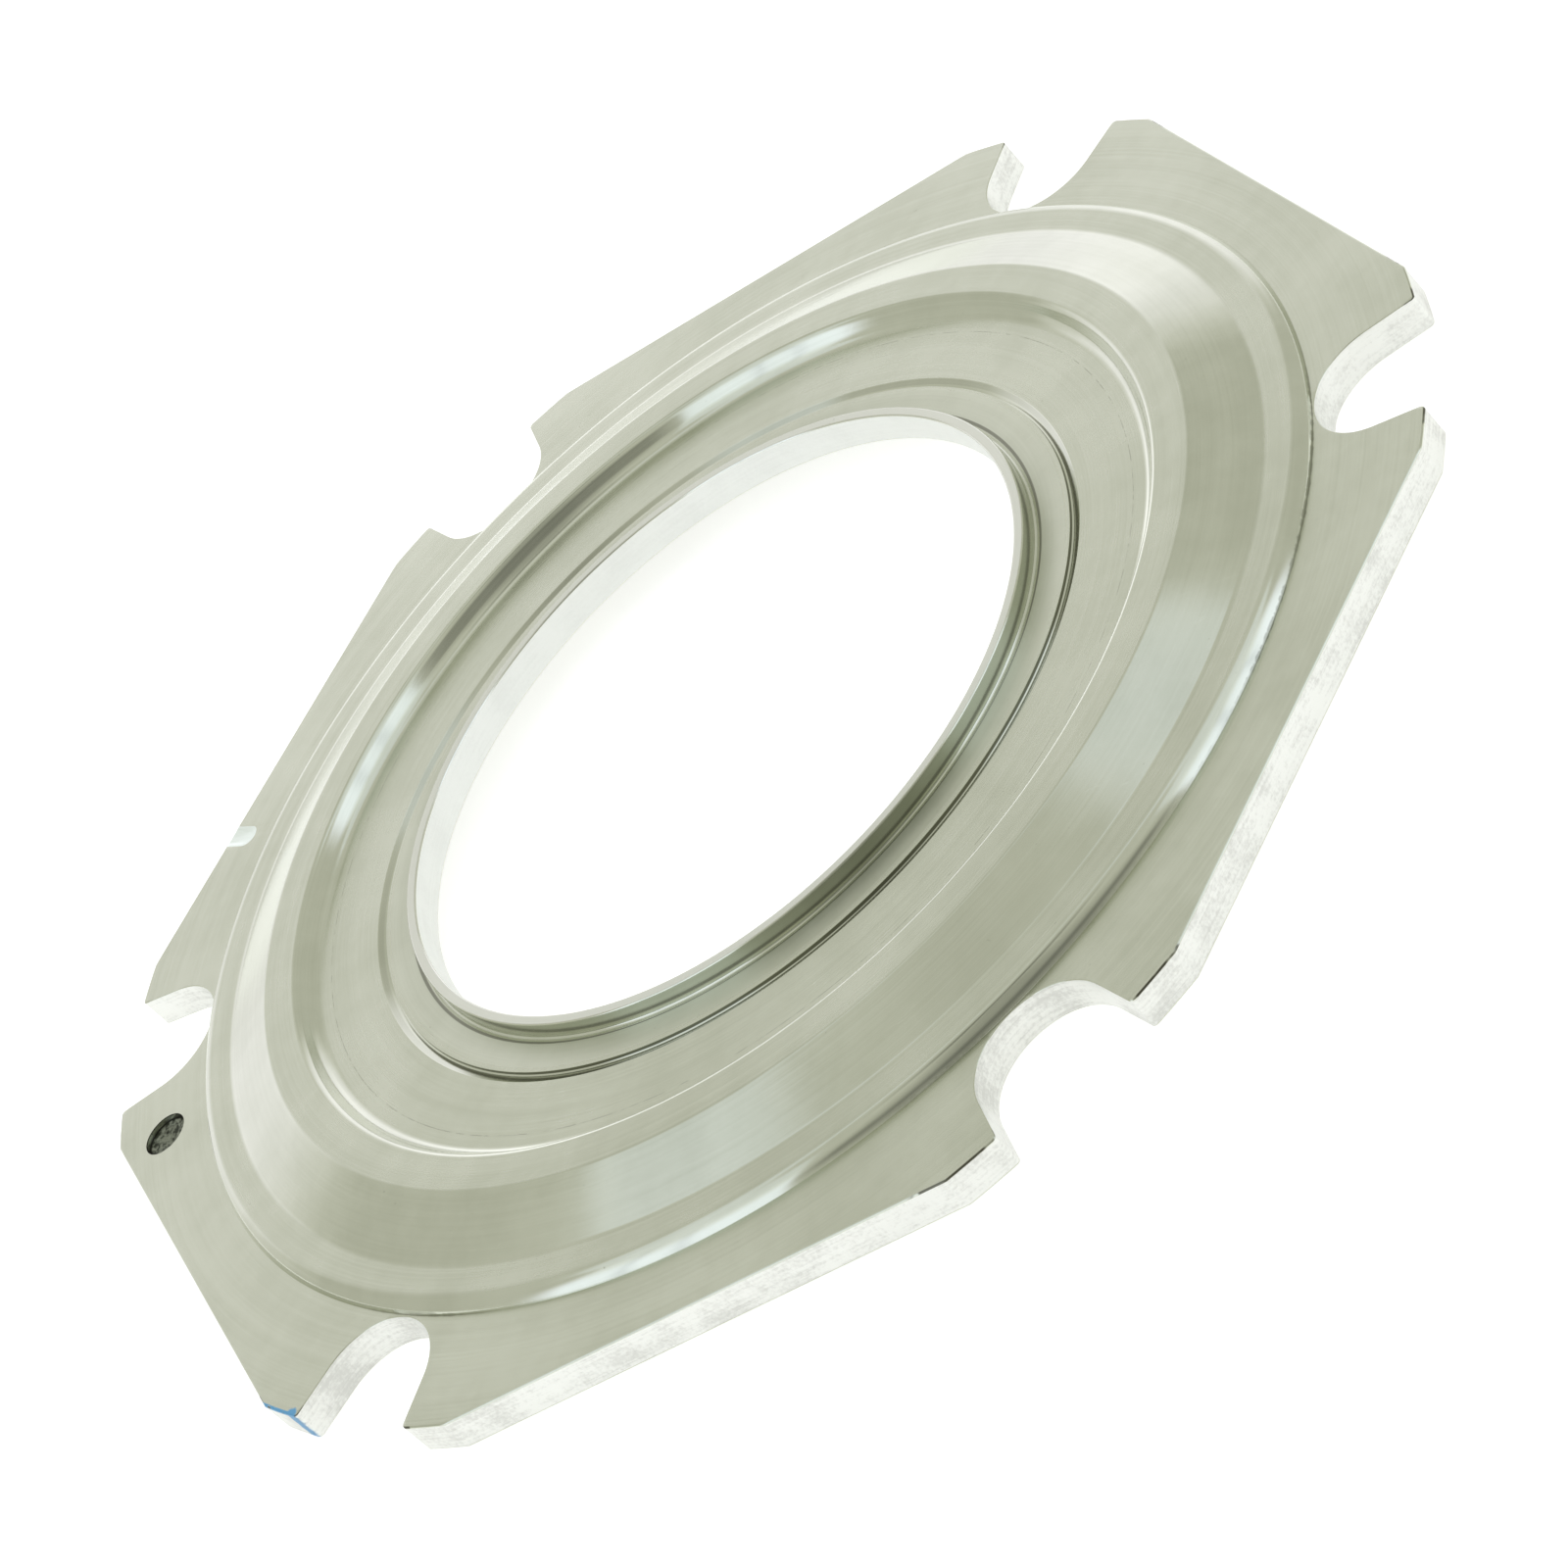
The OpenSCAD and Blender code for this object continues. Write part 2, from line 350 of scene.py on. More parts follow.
def build_world():
    """Light by direction only; the camera itself sees plain white."""
    world = bpy.data.worlds.new("studio")
    bpy.context.scene.world = world
    world.use_nodes = True
    g = Graph(world.node_tree)
    direction = g.parts(g.node("ShaderNodeTexCoord").outputs["Generated"])
    away = math.radians(AWAY_AZIMUTH)
    ahead = g.add(g.times(direction[0], math.cos(away)), g.times(direction[1], math.sin(away)))
    aside = g.less(g.times(direction[1], math.cos(away)), g.times(direction[0], math.sin(away)))
    azimuth = g.calc("DEGREES", g.calc("ARCTAN2", aside, ahead))
    turned = g.calc("ABSOLUTE", azimuth)
    elevation = g.calc("DEGREES", g.calc("ARCSINE", direction[2]))

    # The room is dark behind the camera, and darkest a little above the horizon
    dark = g.less(1.0, g.glow(elevation, *ROOM_DARK_GLOW))
    room = g.times(g.ramp(turned, *ROOM_TURN, ROOM_SIDE_LEVEL, ROOM_BACK_LEVEL), dark)
    backdrop = backdrop_level(g, azimuth, turned, elevation)
    level = g.blend(g.ramp(turned, *ROOM_SIDE), backdrop, room)
    box, box_level = softbox(g, azimuth, turned, elevation)
    level = g.blend(box, level, box_level)

    tint = g.mix(g.ramp(level, *COOL_LEVELS), WARM, COOL)
    box_tint = g.mix(g.ramp(elevation, *BOX_TINT_RISE), BOX_TINT_LOW, BOX_TINT_HIGH)
    tint = g.mix(box, tint, box_tint)
    light = g.node("ShaderNodeBackground", {"Color": tint, "Strength": level})
    plain = g.node("ShaderNodeBackground", {"Color": WHITE, "Strength": 1.0})
    path = g.node("ShaderNodeLightPath")
    both = g.node(
        "ShaderNodeMixShader",
        {0: path.outputs["Is Camera Ray"], 1: light.outputs[0], 2: plain.outputs[0]},
    )
    g.node("ShaderNodeOutputWorld", {"Surface": both.outputs[0]})


def build_floor():
    """Pale floor that keeps the plate's shadow; its glow keeps the background white."""
    bm = bmesh.new()
    bmesh.ops.create_grid(bm, x_segments=1, y_segments=1, size=FLOOR_HALF)
    bmesh.ops.translate(bm, verts=bm.verts, vec=(0, 0, -FLOOR_DROP * MM))
    mesh = bpy.data.meshes.new("floor")
    bm.to_mesh(mesh)
    bm.free()
    floor = bpy.data.objects.new("floor", mesh)
    bpy.context.scene.collection.objects.link(floor)
    material = bpy.data.materials.new("floor")
    material.use_nodes = True
    g = Graph(material.node_tree)
    path = g.node("ShaderNodeLightPath").outputs
    seen = g.calc("MAXIMUM", path["Is Camera Ray"], path["Is Glossy Ray"])
    seen = g.calc("MAXIMUM", seen, path["Is Transmission Ray"])
    glow = g.node("ShaderNodeEmission", {"Color": WHITE, "Strength": g.times(seen, FLOOR_GLOW)})
    paint = g.node("ShaderNodeBsdfDiffuse", {"Color": FLOOR_COLOUR})
    both = g.node("ShaderNodeAddShader", {0: glow.outputs[0], 1: paint.outputs[0]})
    g.node("ShaderNodeOutputMaterial", {"Surface": both.outputs[0]})
    mesh.materials.append(material)


def build_camera():
    camera = bpy.data.cameras.new("camera")
    camera.lens = CAMERA_LENS
    camera.sensor_width = CAMERA_SENSOR
    holder = bpy.data.objects.new("camera", camera)
    holder.location = [c * MM for c in CAMERA_PLACE]
    holder.rotation_euler = [math.radians(a) for a in CAMERA_ANGLES]
    bpy.context.scene.collection.objects.link(holder)
    bpy.context.scene.camera = holder
    bpy.context.scene.view_settings.view_transform = "Standard"


# Outline of the rim
NOTCH_STEPS = 22
WALL_STEPS = 5
MOUTH_STEPS = 6
RIM_STEPS = 5
FLAT_STEPS = 22
NOTCH_BREAK = 0.12


def heading(angle):
    """Unit vector in the plane at that angle from +X."""
    return Vector((math.cos(angle), math.sin(angle)))


def half_outline():
    """The rim from the middle of the notch on +X to the middle of the next flat.

    Each entry is a point, the outward normal there, and the width of the broken edge.
    """
    along = heading(NOTCH_FLARE)
    across = Vector((-along.y, along.x))
    centre = Vector((NOTCH_R, 0))
    entries = []

    # Round bottom of the notch
    for i in range(NOTCH_STEPS):
        inward = heading(math.pi - (TURN / 4 - NOTCH_FLARE) * i / NOTCH_STEPS)
        entries.append((centre + inward * NOTCH_BOTTOM_R, -inward, NOTCH_BREAK))

    # Leaning wall
    wall_start = centre + across * NOTCH_BOTTOM_R
    off_wall = wall_start.dot(across) + MOUTH_R
    inner_r = BLANK_R - MOUTH_R
    mouth = along * math.sqrt(inner_r**2 - off_wall**2) + across * off_wall
    wall_end = mouth - across * MOUTH_R
    for i in range(WALL_STEPS):
        entries.append((wall_start.lerp(wall_end, i / WALL_STEPS), -across, NOTCH_BREAK))

    # Rounded mouth, where the broken edge widens
    mouth_from = math.atan2(-across.y, -across.x)
    mouth_to = math.atan2(mouth.y, mouth.x)
    for i in range(MOUTH_STEPS):
        share = i / MOUTH_STEPS
        outward = heading(mouth_from + (mouth_to - mouth_from) * share)
        width = NOTCH_BREAK + (EDGE_BREAK - NOTCH_BREAK) * share
        entries.append((mouth + outward * MOUTH_R, outward, width))

    # What is left of the blank's circle
    flat_azimuth = math.pi / NOTCH_N
    half_flat = math.acos(FLAT_R / BLANK_R)
    for i in range(RIM_STEPS):
        outward = heading(mouth_to + (flat_azimuth - half_flat - mouth_to) * i / RIM_STEPS)
        entries.append((outward * BLANK_R, outward, EDGE_BREAK))

    # Half of the milled flat, from its sharp corner with the circle
    normal = heading(flat_azimuth)
    sideways = Vector((normal.y, -normal.x))
    flat_half_w = BLANK_R * math.sin(half_flat)
    for i in range(FLAT_STEPS + 1):
        point = normal * FLAT_R + sideways * flat_half_w * (1 - i / FLAT_STEPS)
        outward = normal
        if i == 0:
            middle = (normal + point.normalized()).normalized()
            outward = middle / middle.dot(normal)
        entries.append((point, outward, EDGE_BREAK))
    return entries


def turned_by(entry, angle):
    """The same entry of the outline, turned about the axis."""
    point, normal, width = entry
    axis_x = heading(angle)
    axis_y = Vector((-axis_x.y, axis_x.x))
    return axis_x * point.x + axis_y * point.y, axis_x * normal.x + axis_y * normal.y, width


def outline():
    """The whole rim, anticlockwise from the middle of the notch on +X."""
    half = half_outline()
    mirrored = [(Vector((p.x, -p.y)), Vector((n.x, -n.y)), w) for p, n, w in half]
    sector = half[:-1] + [turned_by(e, TURN / NOTCH_N) for e in mirrored[:0:-1]]
    entries = []
    for k in range(NOTCH_N):
        entries += [turned_by(e, k * TURN / NOTCH_N) for e in sector]
    return entries


# Section of the turned surfaces
ARC_STEP = math.radians(12)


def arc(before, corner, after, radius=None, reach=None):
    """Points of the arc at a corner between two straight sides, set by its radius or its reach."""
    a = (before - corner).normalized()
    b = (after - corner).normalized()
    half = a.angle(b) / 2
    reach = reach or radius / math.tan(half)
    start = a * reach
    end = b * reach
    centre = (a + b).normalized() * (reach / math.cos(half))
    from_angle = math.atan2(start.y - centre.y, start.x - centre.x)
    sweep = math.atan2(end.y - centre.y, end.x - centre.x) - from_angle
    sweep = (sweep + math.pi) % TURN - math.pi
    steps = math.ceil(abs(sweep) / ARC_STEP)
    r = reach * math.tan(half)
    return [corner + centre + heading(from_angle + sweep * i / steps) * r for i in range(steps + 1)]


def section():
    """Turned section from the foot of the shoulder inwards, over the ring, down the bore and out."""
    groove_z = WEB_Z - (GROOVE_OUTER_R - GROOVE_INNER_R) * math.tan(GROOVE_SLOPE)
    relief_z = WEB_Z - (RELIEF_R - LIP_R) * math.tan(RELIEF_SLOPE)
    broken = {"reach": EDGE_BREAK}
    corners = [
        (SHOULDER_R, FLANGE_T, None),
        (SHELF_R, SHELF_Z, {"radius": SHOULDER_ROUND}),
        (CONE_R, SHELF_Z, {"radius": CONE_FILLET}),
        (RING_R, RING_Z, broken),
        (RING_INNER_R, RING_Z, {"radius": WALL_ROUND}),
        (WALL_FOOT_R, WEB_Z, {"radius": WALL_FILLET}),
        (GROOVE_OUTER_R, WEB_Z, None),
        (GROOVE_INNER_R, groove_z, {"radius": GROOVE_FILLET}),
        (GROOVE_INNER_R, WEB_Z, None),
        (RELIEF_R, WEB_Z, None),
        (LIP_R, relief_z, {"radius": RELIEF_FILLET}),
        (LIP_R, LIP_Z, broken),
        (BORE_R, LIP_Z, broken),
        (BORE_R, RECESS_Z, broken),
        (RECESS_R, RECESS_Z, {"radius": RECESS_FILLET}),
        (RECESS_R, 0.0, broken),
        (BLANK_R, 0.0, None),
    ]
    places = [Vector(c[:2]) for c in corners]
    points = []
    for i, place in enumerate(places[:-1]):
        size = corners[i][2]
        if size:
            points += arc(places[i - 1], place, places[i + 1], **size)
        else:
            points.append(place)
    return points


# Mesh of the plate
TURNED_COLUMNS = 720
EDGE_STEPS = 4
SIDE_STEPS = 9
CUT_DEPTH = 0.04
CUT_WAVE = 9.0
CUT_WAVES_UP = 2.4
SHARP_TURNED = math.radians(26)
SHARP_SIDE = math.radians(13.5)
DRILL_STEPS = 72
DRILL_BREAK = 0.1
NICK_STEPS = 16
CUTTER_CLEAR = 1.0
CLOSE = 0.001
FACES_UP = 0.02
NORMAL_WEIGHT = 80


def rim_row(rim, inset, base, rise, rough=0.0):
    """One row along the rim; inset and rise are shares of the broken edge's width, rough is in mm."""
    row = []
    for point, normal, width in rim:
        z = base + width * rise
        cut = 0.0
        if rough:
            wave = noise.noise(Vector((point.x / CUT_WAVE, point.y / CUT_WAVE, z * CUT_WAVES_UP)))
            cut = rough * (0.5 + 0.5 * wave)
        place = point - normal * (width * inset + cut)
        row.append(Vector((place.x, place.y, z)))
    return row


def turned_rows():
    """Rows round the axis, each with the material of the band that follows it."""
    directions = [heading(TURN * i / TURNED_COLUMNS) for i in range(TURNED_COLUMNS)]
    points = section()
    rows = []
    for point, after in zip(points, points[1:] + points[-1:]):
        in_bore = max(point.x, after.x) < BORE_R + CLOSE
        row = [Vector((d.x * point.x, d.y * point.x, point.y)) for d in directions]
        rows.append((row, MILLED if in_bore else TURNED))
    return rows


def rim_rows():
    """Rows along the rim from the back face to the front, with their materials in the same way."""
    rim = outline()
    turns = [TURN / 4 * i / EDGE_STEPS for i in range(EDGE_STEPS + 1)]
    rows = [(rim_row(rim, 1 - math.sin(a), 0.0, 1 - math.cos(a)), TURNED) for a in turns]
    rows[-1] = (rows[-1][0], MILLED)
    for i in range(1, SIDE_STEPS):
        share = i / SIDE_STEPS
        rows.append((rim_row(rim, 0.0, FLANGE_T * share, 1 - 2 * share, CUT_DEPTH), MILLED))
    for a in reversed(turns):
        rows.append((rim_row(rim, 1 - math.sin(a), FLANGE_T, math.cos(a) - 1), TURNED))
    return rows


def add_strip(bm, rows):
    """Quads between closed rows of the same count; returns the first and the last row's points."""
    made = [[bm.verts.new(point * MM) for point in row] for row, _ in rows]
    for here, there, (_, kind) in zip(made, made[1:], rows):
        for j in range(len(here)):
            k = (j + 1) % len(here)
            face = bm.faces.new((here[j], here[k], there[k], there[j]))
            face.material_index = kind
    return made[0], made[-1]


def add_flat(bm, inner, outer):
    """Flat ring of triangles between two closed rows of points."""
    edges = []
    for row in (inner, outer):
        edges += [bm.edges.get(pair) for pair in zip(row, row[1:] + row[:1])]
    bmesh.ops.triangle_fill(bm, use_beauty=True, use_dissolve=False, edges=edges)


def plate_mesh():
    """Closed mesh: turned rows, rim rows, and the flat front and back of the flange between them."""
    bm = bmesh.new()
    shoulder_foot, recess_edge = add_strip(bm, turned_rows())
    back_edge, front_edge = add_strip(bm, rim_rows())
    add_flat(bm, shoulder_foot, front_edge)
    add_flat(bm, recess_edge, back_edge)
    bmesh.ops.recalc_face_normals(bm, faces=bm.faces)
    mesh = bpy.data.meshes.new("plate")
    bm.to_mesh(mesh)
    bm.free()
    return mesh


def hull(name, points):
    """Object that is the convex hull of points."""
    bm = bmesh.new()
    for point in points:
        bm.verts.new(Vector(point) * MM)
    bmesh.ops.convex_hull(bm, input=bm.verts)
    mesh = bpy.data.meshes.new(name)
    bm.to_mesh(mesh)
    bm.free()
    made = bpy.data.objects.new(name, mesh)
    bpy.context.scene.collection.objects.link(made)
    return made


def round_cutter(name, circles):
    """Cutter on the drilling's axis, through circles given by radius and height."""
    points = []
    for r, z in circles:
        for i in range(DRILL_STEPS):
            d = heading(TURN * i / DRILL_STEPS)
            points.append((DRILL_PLACE[0] + r * d.x, DRILL_PLACE[1] + r * d.y, z))
    return hull(name, points)


def drill_cutters():
    """Blind drilling with the cone of the drill's point, and a countersink cut that breaks its mouth."""
    point_h = (DRILL_R - CHISEL_R) / math.tan(DRILL_POINT / 2)
    shoulder_z = FLANGE_T - DRILL_DEPTH
    mouth_z = FLANGE_T - DRILL_BREAK
    hole = [(CHISEL_R, shoulder_z - point_h), (DRILL_R, shoulder_z), (DRILL_R, FLANGE_T + CUTTER_CLEAR)]
    mouth = [(DRILL_R + step, mouth_z + step) for step in (-CUTTER_CLEAR, CUTTER_CLEAR)]
    return [round_cutter("drill", hole), round_cutter("mouth", mouth)]


def nick_cutter():
    """Shallow nick with sloping walls and a round inner end, open at the edge of its flat."""
    out = heading(NICK_AZIMUTH)
    side = Vector((-out.y, out.x))
    centre = out * (FLAT_R - NICK_LENGTH + NICK_HALF_W) + side * NICK_SHIFT
    points = []
    for half_w, z in ((NICK_HALF_W - NICK_RUN, -NICK_DEPTH), (NICK_HALF_W + NICK_RUN, NICK_DEPTH)):
        for i in range(NICK_STEPS + 1):
            a = math.pi * (0.5 + i / NICK_STEPS)
            place = centre + (out * math.cos(a) + side * math.sin(a)) * half_w
            points.append((place.x, place.y, FLANGE_T + z))
        for sign in (-1, 1):
            place = centre + out * NICK_LENGTH + side * sign * half_w
            points.append((place.x, place.y, FLANGE_T + z))
    return hull("nick", points)


def cut(plate, cutters):
    """Takes the cutters out of the plate's mesh and removes them."""
    for cutter in cutters:
        modifier = plate.modifiers.new(cutter.name, "BOOLEAN")
        modifier.operation = "DIFFERENCE"
        modifier.solver = "EXACT"
        modifier.object = cutter
    shown = plate.evaluated_get(bpy.context.evaluated_depsgraph_get())
    plate.modifiers.clear()
    plate.data = bpy.data.meshes.new_from_object(shown)
    for cutter in cutters:
        bpy.data.objects.remove(cutter)


def kind_of_cut(centre):
    """Material of a face that a cutter made, or None for any other face."""
    x, y, z = centre / MM
    from_drill = math.hypot(x - DRILL_PLACE[0], y - DRILL_PLACE[1])
    if from_drill < DRILL_R + DRILL_BREAK * 2 and z < FLANGE_T - CLOSE:
        return DRILLED
    out = heading(NICK_AZIMUTH)
    local_out = x * out.x + y * out.y
    local_side = -x * out.y + y * out.x - NICK_SHIFT
    low = FLANGE_T - NICK_DEPTH - CLOSE
    in_nick = abs(local_side) < NICK_HALF_W and local_out > FLAT_R - NICK_LENGTH
    if in_nick and low < z < FLANGE_T - CLOSE:
        return GROUND
    return None


def finish_mesh(mesh):
    """Materials of the cut faces, and sharp edges by angle."""
    bm = bmesh.new()
    bm.from_mesh(mesh)
    for face in bm.faces:
        face.smooth = True
        made = kind_of_cut(face.calc_center_median())
        if made is not None and face.normal.z > FACES_UP:
            face.material_index = made
    for edge in bm.edges:
        if len(edge.link_faces) != 2:
            continue
        side = all(face.material_index == MILLED for face in edge.link_faces)
        limit = SHARP_SIDE if side else SHARP_TURNED
        edge.smooth = edge.calc_face_angle(0) < limit
    bm.to_mesh(mesh)
    bm.free()


def build_plate():
    mesh = plate_mesh()
    for material in (turned_steel(), milled_steel(), drilled_steel(), ground_steel()):
        mesh.materials.append(material)
    plate = bpy.data.objects.new("plate", mesh)
    bpy.context.scene.collection.objects.link(plate)
    cut(plate, drill_cutters() + [nick_cutter()])
    finish_mesh(plate.data)
    weighted = plate.modifiers.new("normals", "WEIGHTED_NORMAL")
    weighted.keep_sharp = True
    weighted.weight = NORMAL_WEIGHT
    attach(plate, "root")
    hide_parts("pressure_plate")
    return plate


# Colours of the metal, its dirt and painted shade, and its paint
STEEL = (0.62, 0.645, 0.535, 1)
STEEL_LIGHT = (0.67, 0.695, 0.585, 1)
STEEL_DARK = (0.51, 0.535, 0.425, 1)
CUT_LIGHT = (0.83, 0.84, 0.79, 1)
CUT_DARK = (0.63, 0.635, 0.59, 1)
BORE_LIGHT = (0.79, 0.81, 0.77, 1)
DRILLED_LIGHT = (0.32, 0.34, 0.27, 1)
DRILLED_DARK = (0.045, 0.05, 0.036, 1)
# Painted shade round the edge of the balance drilling
DRILLED_EDGE_SHADE = (0.012, 0.012, 0.008, 1)
GROUND_LIGHT = (0.88, 0.95, 0.89, 1)
GROUND_DARK = (0.78, 0.86, 0.80, 1)
GRIME_AND_SHADE = (0.05, 0.045, 0.025, 1)
PAINT = (0.10, 0.38, 0.66, 1)

# Dab of paint on a corner of the rim, and flakes of it along the edge beside it.
# Here and below, a pattern is its scale per millimetre, its detail and its roughness. A RISE is the value
# at which something starts to show and the value at which it is full. A band has its soft edge last.
PAINT_PLACE = (-119.1, 13.4)
PAINT_REACH = (0.3, 0.8)
PAINT_RAGS = (1.1, 3.0, 0.5)
PAINT_RAG_REACH = 0.9
PAINT_EDGE_Y = (13.0, 21.5, 0.3)
PAINT_EDGE_X = (-110.0, -109.0)
PAINT_EDGE_R = (BLANK_R - 0.45, BLANK_R + 0.2, 0.08)
PAINT_EDGE_Z = (FLANGE_T - 0.5, FLANGE_T - 0.35)
PAINT_FLAKES = (0.7, 2.0, 0.5)
PAINT_FLAKES_RISE = (0.40, 0.50)

# Painted shade, together with dirt, in the groove and on its flank, in the relief, and on the lip's wall
GROOVE_SHADE_AND_DIRT = 0.75
GROOVE_SHADE_AND_DIRT_R = (GROOVE_INNER_R - 0.2, GROOVE_INNER_R + 0.05, 0.03)
GROOVE_SHADE_AND_DIRT_TOP = (8.5, 8.58)
FLANK_SHADE_AND_DIRT = 0.12
FLANK_SHADE_AND_DIRT_R = (GROOVE_OUTER_R - 0.9, GROOVE_OUTER_R - 0.02, 0.05)
FLANK_SHADE_AND_DIRT_TOP = (8.5, 8.59)
RELIEF_SHADE_AND_DIRT = 0.6
RELIEF_SHADE_AND_DIRT_R = (LIP_R + 0.85, RELIEF_R - 0.02, 0.06)
LIP_SHADE_AND_DIRT = 0.12
LIP_SHADE_AND_DIRT_R = (LIP_R - 0.08, LIP_R + 0.1, 0.04)
LIP_SHADE_AND_DIRT_Z = (8.85, 11.05, 0.05)

# Torn line at the shoulder's foot; a pattern round the axis also has a layer, after its scale
TORN_DIRT = 0.4
TORN_DEPTH = 0.28
TORN_SOFT = (0.0, 0.1)
TORN_Z = (FLANGE_T - 0.1, FLANGE_T + 0.4, 0.1)
TORN_TEETH = (70.0, 0.0, 2.0, 0.7)
TORN_TEETH_RISE = (0.35, 0.75)
TORN_PARTS = (1.6, 3.0, 2.0, 0.5)
TORN_PARTS_RISE = (0.42, 0.56)
TORN_DEEP_RISE = (0.40, 0.60)
TORN_SHALLOW = 0.1

# Broken line on the web, specks all over, and marks along the rim beside the notches
LINE_DIRT = 0.4
LINE_R = (74.15, 74.25, 0.05)
LINE_Z = (8.5, 8.7, 0.05)
LINE_GAPS = (22.0, 1 / 22, 4.0, 0.7)
LINE_GAPS_RISE = (0.44, 0.56)
SPECKS_DIRT = 0.3
SPECKS = (1.3, 2.0, 0.5)
SPECKS_RISE = (0.76, 0.80)
EDGE_DIRT = 0.85
EDGE_R = (BLANK_R - 2.2, BLANK_R - 1.4)
EDGE_Z = (FLANGE_T - 0.29, FLANGE_T - 0.02, 0.015)
EDGE_PARTS = (0.09, 3.0, 0.7)
EDGE_PARTS_RISE = (0.47, 0.52)

# Turned steel: its patterns, and where it is level, flange, the lip's top, or the web near the lip
LEVEL_RISE = (0.96, 0.995)
FLANGE_RISE = (SHOULDER_R - 0.3, SHOULDER_R + 0.3)
LIP_TOP_RISE = (LIP_R - 0.25, LIP_R - 0.1)
INNER_WEB_RISE = (60.5, 63.0)
SLOPE_STRETCH = 1.3
FINE_LINES = ((3.0, 1.5, 1.5), 3.0, 0.7)
BROAD_LINES = ((0.45, 0.8, 0.8), 2.0, 0.5)
CLOUDS = (0.045, 4.0, 0.55)
SMUDGES = (0.17, 4.0, 0.6)
WISP_SCALES = (0.9, 0.12)
WISPS = (1.0, 4.0, 0.75)
WISPS_RISE = (0.58, 0.75)
WISP_CLOUDS_RISE = (0.48, 0.60)

# Turned steel: how much each pattern shades the colour, and how much each roughens the metal
MIDDLE_SHADE = 0.5
FINE_SHADE = 0.45
BROAD_SHADE = 0.4
CLOUDS_SHADE = 1.0
SMUDGES_SHADE = 0.4
WISPS_SHADE = 0.3
FLANGE_SHADE = 0.07
SHADE_RANGE = (0.1, 0.9)
PLAIN_SHARE = 0.35
LIP_TOP_SHARE = 0.5
TURNED_ROUGH = 0.13
LEVEL_ROUGH = 0.13
FLANGE_ROUGH = -0.02
PAINT_ROUGH = 0.2
CLOUDS_ROUGH = 0.10
SMUDGES_ROUGH = 0.04
FINE_ROUGH = 0.06
INNER_WEB_ROUGH = 0.16
TURNED_GLOSS_STRETCH = 0.5
TURNED_GLOSS_TURN = 0.25
TURNED_BUMP = (0.25, 0.03)
BROAD_BUMP = 1.5

# Milled steel
STREAKS = ((0.06, 0.06, 2.4), 5.0, 0.7)
GRAIN = (1.8, 3.0, 0.6)
PATCHES = (0.12, 3.0, 0.6)
STREAKS_SHADE = 0.30
GRAIN_SHADE = 0.30
PATCHES_SHADE = 0.40
MILLED_RANGE = (0.38, 0.56)
MILLED_ROUGH = 0.42
GRAIN_ROUGH = 0.3
MILLED_BUMP = (0.6, 0.08)
BORE_RISE = (BORE_R + 1.0, BORE_R + 2.0)
BORE_SHARE = 0.75

# Drilled and ground steel
STAINS = (1.1, 4.0, 0.65)
STAINS_RISE = (0.40, 0.62)
DRILLED_EDGE_SHADE_RISE = (DRILL_R - 0.45, DRILL_R - 0.1)
DRILLED_ROUGH = 0.3
STAINS_ROUGH = 0.4
DRILLED_BUMP = (0.7, 0.1)
GRINDING = ((5.0, 0.3, 1.0), 3.0, 0.6)
GROUND_ROUGH = 0.35
GROUND_BUMP = (0.4, 0.04)


def new_material(name):
    material = bpy.data.materials.new(name)
    material.use_nodes = True
    return material, Graph(material.node_tree)


def place_in_mm(g):
    """Place on the plate in millimetres: the vector and its three parts."""
    source = g.node("ShaderNodeTexCoord").outputs["Object"]
    scaled = g.node("ShaderNodeVectorMath", {0: source, "Scale": 1 / MM}, operation="SCALE").outputs[0]
    return scaled, *g.parts(scaled)


def distance(g, x, y, place):
    return g.length(g.less(x, place[0]), g.less(y, place[1]))


def round_noise(g, cos_a, sin_a, scale, layer, detail, rough):
    """Noise that changes only with the angle round the axis."""
    return g.noise(g.vector(cos_a, sin_a, layer), scale, detail, rough)


def paint_mark(g, place, x, y, z, r):
    """Dab of marking paint down one corner of the rim and along the edge beside it."""
    rags = g.times(g.noise(place, *PAINT_RAGS), PAINT_RAG_REACH)
    dab = g.ramp(g.less(distance(g, x, y, PAINT_PLACE), rags), *PAINT_REACH, 1.0, 0.0)
    edge = g.times(
        g.band(y, *PAINT_EDGE_Y),
        g.ramp(x, *PAINT_EDGE_X, 1.0, 0.0),
        g.band(r, *PAINT_EDGE_R),
        g.ramp(z, *PAINT_EDGE_Z),
        g.ramp(g.noise(place, *PAINT_FLAKES), *PAINT_FLAKES_RISE),
    )
    return g.calc("MAXIMUM", dab, edge)


def shadowed_corners(g, z, r):
    """Painted shade, with dirt, on the walls of the groove, in the relief and on the wall of the lip."""
    groove = g.times(g.band(r, *GROOVE_SHADE_AND_DIRT_R), g.ramp(z, *GROOVE_SHADE_AND_DIRT_TOP, 1.0, 0.0))
    flank = g.times(g.band(r, *FLANK_SHADE_AND_DIRT_R), g.ramp(z, *FLANK_SHADE_AND_DIRT_TOP, 1.0, 0.0))
    relief = g.band(r, *RELIEF_SHADE_AND_DIRT_R)
    lip_wall = g.times(g.band(r, *LIP_SHADE_AND_DIRT_R), g.band(z, *LIP_SHADE_AND_DIRT_Z))
    # Painted shade with some dirt: these corners are darkened in the colour
    darkening = g.add(
        g.times(groove, GROOVE_SHADE_AND_DIRT),
        g.times(flank, FLANK_SHADE_AND_DIRT),
        g.times(relief, RELIEF_SHADE_AND_DIRT),
        g.times(lip_wall, LIP_SHADE_AND_DIRT),
    )
    return g.clamp(darkening, 0.0, 1.0)


